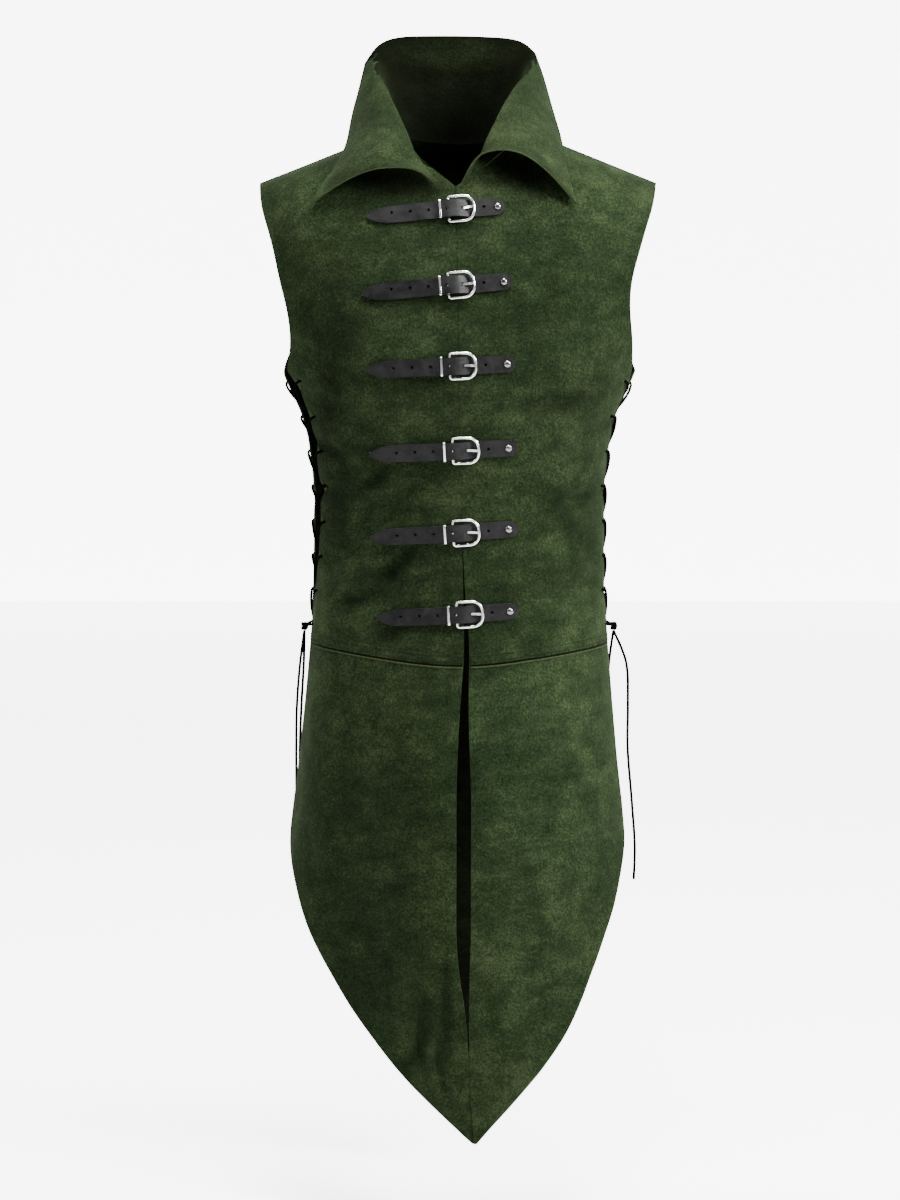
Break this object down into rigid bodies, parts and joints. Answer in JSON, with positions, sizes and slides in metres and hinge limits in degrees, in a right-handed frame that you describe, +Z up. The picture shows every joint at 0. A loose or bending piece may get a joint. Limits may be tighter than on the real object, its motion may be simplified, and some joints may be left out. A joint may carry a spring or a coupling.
{
  "type": "leather jerkin",
  "caption": "Sleeveless suede jerkin, filled out with no wearer: tall pointed collar, buckled straps down the front, laced sides and leaf-shaped split skirts.",
  "frame": {"origin": "middle of the neck, level with the neck end of the shoulder seams, where the wearer holds it", "axes": "+Z up, front towards -Y, wearer's left side towards +X"},
  "size_m": [0.4586, 0.2697, 1.2781],
  "materials": {
    "suede": "green suede nap",
    "strap": "smooth black hide",
    "nickel": "bright nickel",
    "cord": "black leather lace"
  },
  "bodies": {
    "root": {"front_left": "suede", "front_right": "suede", "back": "suede", "skirt_front_left": "suede", "skirt_front_right": "suede", "skirt_back": "suede", "collar": "suede", "billet_1": "strap", "billet_2": "strap", "billet_3": "strap", "billet_4": "strap", "billet_5": "strap", "billet_6": "strap", "chape_1": "strap", "chape_2": "strap", "chape_3": "strap", "chape_4": "strap", "chape_5": "strap", "chape_6": "strap", "frame_1": "nickel", "frame_2": "nickel", "frame_3": "nickel", "frame_4": "nickel", "frame_5": "nickel", "frame_6": "nickel", "tongue_1": "nickel", "tongue_2": "nickel", "tongue_3": "nickel", "tongue_4": "nickel", "tongue_5": "nickel", "tongue_6": "nickel", "keeper_1": "nickel", "keeper_2": "nickel", "keeper_3": "nickel", "keeper_4": "nickel", "keeper_5": "nickel", "keeper_6": "nickel", "rivet_1": "nickel", "rivet_2": "nickel", "rivet_3": "nickel", "rivet_4": "nickel", "rivet_5": "nickel", "rivet_6": "nickel", "lacing_left": "cord", "lacing_right": "cord", "knot_left": "cord", "knot_right": "cord", "lace_end_left_outer": "cord", "lace_end_left_inner": "cord", "lace_end_right_outer": "cord", "lace_end_right_inner": "cord"}
  },
  "joints": []
}
